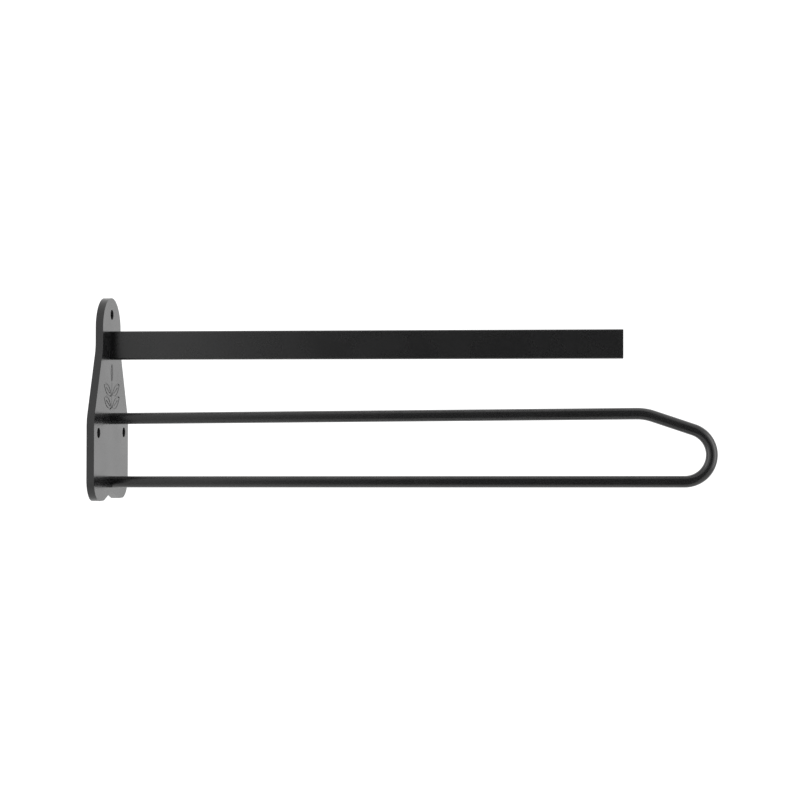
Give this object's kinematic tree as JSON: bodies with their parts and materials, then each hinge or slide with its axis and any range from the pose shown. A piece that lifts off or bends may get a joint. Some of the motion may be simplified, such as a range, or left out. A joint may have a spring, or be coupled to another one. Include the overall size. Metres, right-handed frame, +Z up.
{
  "type": "paper towel holder",
  "caption": "Wall-mounted black steel paper towel holder: a wall plate with a flat guide bar above a long round-rod hairpin that carries the roll.",
  "frame": {"origin": "middle of the plate's wall face", "axes": "+X away from the wall along the arms, +Y across the plate, +Z up"},
  "size_m": [0.3195, 0.0628, 0.1062],
  "materials": {
    "black_powder_coat": "semi-gloss black powder coat"
  },
  "bodies": {
    "root": {"wall_plate": "black_powder_coat", "guide_bar": "black_powder_coat", "roll_hairpin": "black_powder_coat", "guide_bar_weld": "black_powder_coat", "upper_leg_weld": "black_powder_coat", "lower_leg_weld": "black_powder_coat"}
  },
  "joints": []
}
